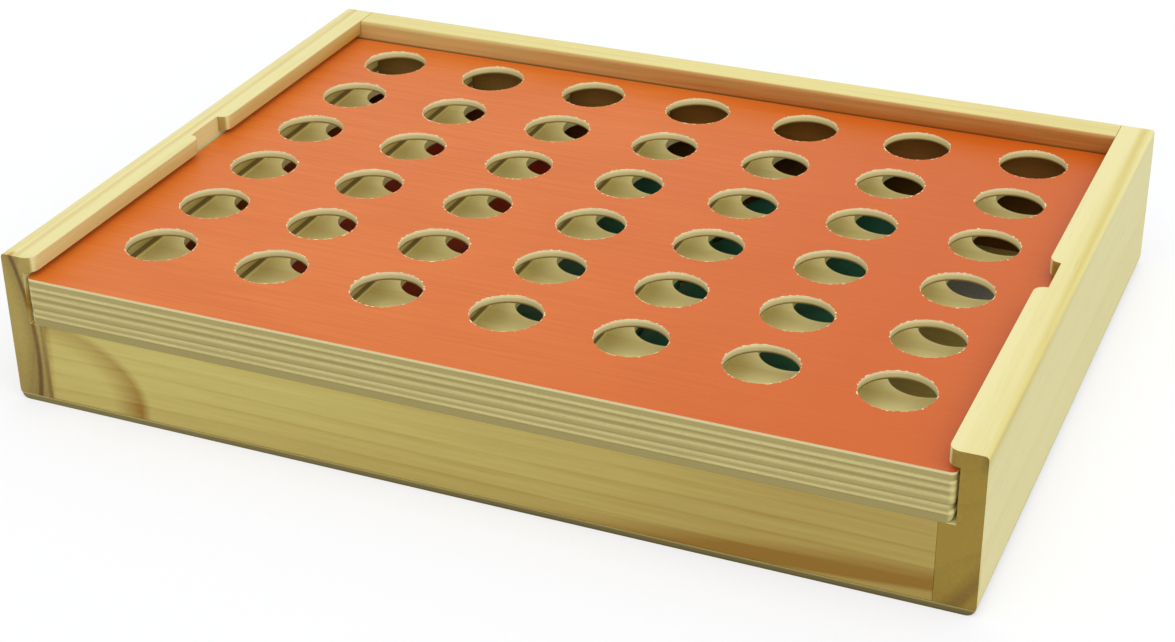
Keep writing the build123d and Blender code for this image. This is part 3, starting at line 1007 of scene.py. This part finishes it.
# The 42 discs are turned from hardwood, stained right through the surface in dark red or
# teal, and rubbed to a satin. They are loose, and their rims are rounded to fall easily.
def game_disc():
    """A node tree for one disc. Each corner keeps its place in the log that the disc was cut
    from, turned by the disc's own angle, so that no two discs have the same grain."""
    tree = bpy.data.node_groups.new("game_disc", "GeometryNodeTree")
    tree.interface.new_socket("Geometry", in_out="OUTPUT", socket_type="NodeSocketGeometry")
    sockets = (
        ("Radius", "NodeSocketFloat"), ("Thickness", "NodeSocketFloat"), ("Sides", "NodeSocketInt"),
        ("Middle", "NodeSocketVector"), ("Turn", "NodeSocketVector"), ("Log Place", "NodeSocketVector"),
        ("Wood", "NodeSocketMaterial"),
    )
    for name, kind in sockets:
        tree.interface.new_socket(name, in_out="INPUT", socket_type=kind)
    given = tree.nodes.new("NodeGroupInput").outputs
    disc = tree.nodes.new("GeometryNodeMeshCylinder")
    position = tree.nodes.new("GeometryNodeInputPosition")
    turned = tree.nodes.new("ShaderNodeVectorRotate")
    turned.rotation_type = "EULER_XYZ"
    shifted = tree.nodes.new("ShaderNodeVectorMath")
    kept = tree.nodes.new("GeometryNodeStoreNamedAttribute")
    kept.data_type = "FLOAT_VECTOR"
    kept.inputs["Name"].default_value = "log_place"
    moved = tree.nodes.new("GeometryNodeTransform")
    real = tree.nodes.new("GeometryNodeRealizeInstances")
    dressed = tree.nodes.new("GeometryNodeSetMaterial")
    for source, target in (
        (given["Radius"], disc.inputs["Radius"]), (given["Thickness"], disc.inputs["Depth"]),
        (given["Sides"], disc.inputs["Vertices"]),
        (position.outputs[0], turned.inputs["Vector"]), (given["Turn"], turned.inputs["Rotation"]),
        (turned.outputs[0], shifted.inputs[0]), (given["Log Place"], shifted.inputs[1]),
        (disc.outputs["Mesh"], kept.inputs["Geometry"]), (shifted.outputs[0], kept.inputs["Value"]),
        (kept.outputs[0], moved.inputs["Geometry"]), (given["Middle"], moved.inputs["Translation"]),
        (moved.outputs[0], real.inputs[0]), (real.outputs[0], dressed.inputs["Geometry"]),
        (given["Wood"], dressed.inputs["Material"]),
        (dressed.outputs[0], tree.nodes.new("NodeGroupOutput").inputs[0]),
    ):
        tree.links.new(source, target)
    return tree


def stained_wood(name, light, dark):
    """Hardwood under a see-through stain: the grain shows as darker lines."""
    material, tree, shader = new_material(name, 0.38, 0.4)
    log_place = add(tree, "Attribute", attribute_name="log_place").outputs["Vector"]
    wood = use(
        tree, grain, Place=log_place, Ring_Width=0.0034, Wander=0.006, Ring_Depth=0.7,
        Fibre_Depth=0.8, Early_Wood=light, Late_Wood=dark,
    )
    tree.links.new(wood["Color"], shader.inputs["Base Color"])
    relief(tree, shader, wood["Height"], 0.00006)
    return material


disc_radius = 0.015
disc_sides = 72
disc_round = 0.0009
stains = {
    "red": stained_wood("red_stained_wood", to_linear(186, 62, 34), to_linear(122, 34, 20)),
    "teal": stained_wood("teal_stained_wood", to_linear(54, 116, 92), to_linear(29, 74, 59)),
}
disc_tree = game_disc()
discs_per_colour = 21
golden_angle = 2.399963
made_discs = 0
for colour, stain in stains.items():
    for number in range(1, discs_per_colour + 1):
        node = f"{colour}_disc_{number}"
        low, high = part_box(node)
        angle = made_discs * golden_angle
        shape = made_by(
            disc_tree, Radius=disc_radius, Thickness=high.z - low.z, Sides=disc_sides,
            Middle=(low + high) / 2, Turn=(0.03 * math.sin(angle), 0.05 * math.cos(angle), angle),
            Log_Place=(0.07 * made_discs, 0.012 * math.sin(3 * angle), 0.035), Wood=stain,
        )
        ease(shape, sharp_edges(shape), disc_round, 4)
        finish(node.replace("_disc", "_game_disc"), shape, stain, node, f"{colour}_wood", node, fine=20e-6)
        made_discs += 1


# The leaflet is one sheet of grey-white paper, folded over and over into a small pad.
# It lies loose on the bare end of the tray. Nothing is printed on this one.
leaf = 0.00014
fold_count = 5
fold_steps = 6
low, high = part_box("rules_leaflet")
leaf_pitch = (high.z - low.z - leaf) / fold_count
fold_round = leaf_pitch / 2
line = []
for index in range(fold_count + 1):
    height = low.z + leaf / 2 + index * leaf_pitch
    near, far = low.y + leaf_pitch, high.y - leaf_pitch
    start, end = (near, far) if index % 2 == 0 else (far, near)
    line += [(start, height), (end, height)]
    if index < fold_count:
        way = math.copysign(1, end - start)
        for step in range(1, fold_steps):
            angle = math.pi * step / fold_steps
            reach, rise = math.sin(angle) * fold_round, (1 - math.cos(angle)) * fold_round
            line.append((end + way * reach, height + rise))
sheet_sides = []
for index, (y, z) in enumerate(line):
    before, after = line[max(0, index - 1)], line[min(len(line) - 1, index + 1)]
    run = Vector((after[0] - before[0], after[1] - before[1])).normalized() * leaf / 2
    sheet_sides.append(((y - run.y, z + run.x), (y + run.y, z - run.x)))
shape = bmesh.new()
for x in (low.x + leaf_pitch, high.x - leaf_pitch):
    for over, under in sheet_sides:
        shape.verts.new((x, *over))
        shape.verts.new((x, *under))
shape.verts.ensure_lookup_table()
count = len(line)
for index in range(count - 1):
    corner = 2 * index
    beyond = corner + 2 * count
    for quad in (
        (corner, corner + 1, corner + 3, corner + 2),
        (beyond, beyond + 1, beyond + 3, beyond + 2),
        (corner, corner + 2, beyond + 2, beyond),
        (corner + 1, corner + 3, beyond + 3, beyond + 1),
    ):
        shape.faces.new([shape.verts[i] for i in quad])
for corner in (0, 2 * count - 2):
    beyond = corner + 2 * count
    shape.faces.new([shape.verts[i] for i in (corner, corner + 1, beyond + 1, beyond)])

paper, tree, shader = new_material("leaflet_paper", 0.75, 0.2)
fibres = speckle(tree, place_of(tree), (900, 900, 900), 3.0)
tree.links.new(
    blend(tree, stretch(tree, fibres, 0.3, 0.7), to_linear(150, 150, 142), to_linear(166, 166, 158)),
    shader.inputs["Base Color"],
)
relief(tree, shader, fibres, 0.00003)
finish("leaflet", shape, paper, "rules_leaflet", "paper", "rules_leaflet")
